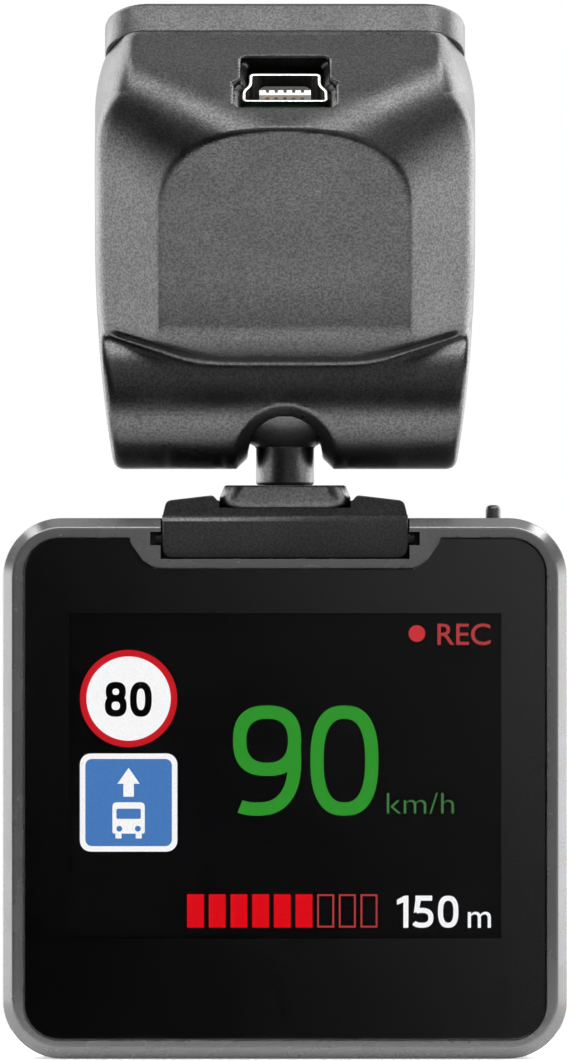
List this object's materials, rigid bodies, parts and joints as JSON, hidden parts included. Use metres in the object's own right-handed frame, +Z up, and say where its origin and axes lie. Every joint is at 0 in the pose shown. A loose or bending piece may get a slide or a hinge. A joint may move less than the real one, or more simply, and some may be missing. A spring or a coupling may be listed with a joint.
{
  "type": "windscreen radar warner with dash camera",
  "caption": "Windscreen-mounted camera and speed-camera warner: wedge head with ball joint, slide-on square screen unit, rear display and front lens.",
  "frame": {"origin": "centre of the adhesive face that sticks to the windscreen", "axes": "+Z up and the longest extent, the screen faces -Y towards the driver, the lens looks along +Y, +X to the driver's right as seen from the screen side"},
  "size_m": [0.0516, 0.0431, 0.0968],
  "materials": {
    "adhesive": "matt foam tape",
    "plate_plastic": "fine-grained dark grey",
    "head_plastic": "fine-grained dark grey",
    "black_plastic": "black moulded",
    "foot_plastic": "fine-grained charcoal",
    "frame_grey": "satin grey paint with a lighter bevel",
    "shell_plastic": "fine-grained charcoal",
    "screen_glass": "polished dark cover glass",
    "mask_black": "printed black",
    "display": "dark picture area",
    "lens_glass": "coated lens",
    "board_green": "circuit board",
    "chip_black": "moulded chip",
    "ceramic_tan": "patch antenna ceramic",
    "flex_amber": "flexible circuit",
    "steel": "screws and springs",
    "nickel": "plated shell",
    "gold_contact": "gold plated",
    "aluminium_sheet": "heat spreader",
    "wire_black": "insulated lead",
    "mesh_cloth": "dust mesh",
    "battery_foil": "foil pouch",
    "filter_red": "infrared filter",
    "ring_metal": "satin trim ring"
  },
  "bodies": {
    "head": {"adhesive_pad": "adhesive", "windscreen_plate": "plate_plastic", "head_housing": "head_plastic", "plate_screws": "steel", "antenna_board": "board_green", "patch_antenna": "ceramic_tan", "socket_board": "board_green", "usb_shell": "nickel", "usb_tongue": "black_plastic", "usb_contacts": "gold_contact", "head_wires": "wire_black", "ball_clamp": "black_plastic", "clamp_washers": "steel", "clamp_screws": "steel"},
    "ball_link": {"ball_wires": "wire_black"},
    "ball": {"ball_stud": "black_plastic"},
    "foot": {"foot_cap": "foot_plastic", "foot_block": "foot_plastic", "foot_board": "board_green", "foot_contacts": "gold_contact", "foot_screws": "steel"},
    "camera": {"rear_frame": "frame_grey", "front_shell": "shell_plastic", "cover_glass": "screen_glass", "glass_mask": "mask_black", "glass_gasket": "adhesive", "display_panel": "display", "backlight": "nickel", "display_flex": "flex_amber", "main_board": "board_green", "processor": "chip_black", "heat_spreader": "aluminium_sheet", "memory_chips": "chip_black", "sensor_board": "board_green", "image_sensor": "chip_black", "infrared_filter": "filter_red", "lens_holder": "black_plastic", "lens_barrel": "black_plastic", "rear_lens": "lens_glass", "middle_lens": "lens_glass", "front_lens": "lens_glass", "lens_ring": "ring_metal", "speaker": "black_plastic", "speaker_mesh": "mesh_cloth", "microphone": "nickel", "battery": "battery_foil", "card_socket": "nickel", "contact_block": "black_plastic", "contact_pins": "gold_contact", "latch_spring": "steel", "power_switch": "nickel", "reset_switch": "nickel", "board_screws": "steel", "shell_screws": "steel"},
    "power_key": {"power_key": "shell_plastic"},
    "reset_key": {"reset_key": "shell_plastic"},
    "memory_card": {"memory_card": "black_plastic"}
  },
  "joints": [
    {"name": "ball_tilt", "type": "hinge", "parent": "head", "child": "ball_link", "pos_m": [0, -0.01045, -0.02656], "axis": [1, 0, 0], "range_deg": [-35, 35]},
    {"name": "ball_roll", "type": "hinge", "parent": "ball_link", "child": "ball", "pos_m": [0, -0.01045, -0.02656], "axis": [0, 1, 0], "range_deg": [-4, 4]},
    {"name": "ball_pan", "type": "hinge", "parent": "ball", "child": "foot", "pos_m": [0, -0.01045, -0.02656], "axis": [0, 0, 1], "range_deg": [-90, 90]},
    {"name": "dock_slide", "type": "slide", "parent": "foot", "child": "camera", "axis": [0, 1, 0], "range_m": [0, 0.014]},
    {"name": "power_press", "type": "slide", "parent": "camera", "child": "power_key", "axis": [0, 0, -1], "range_m": [0, 0.0004], "stiffness_N_per_m": 2500, "springref_m": -0.0002},
    {"name": "reset_press", "type": "slide", "parent": "camera", "child": "reset_key", "axis": [0, 0, 1], "range_m": [0, 0.0004], "stiffness_N_per_m": 2500, "springref_m": -0.0002},
    {"name": "card_slide", "type": "slide", "parent": "camera", "child": "memory_card", "axis": [-1, 0, 0], "range_m": [0, 0.0145]}
  ]
}
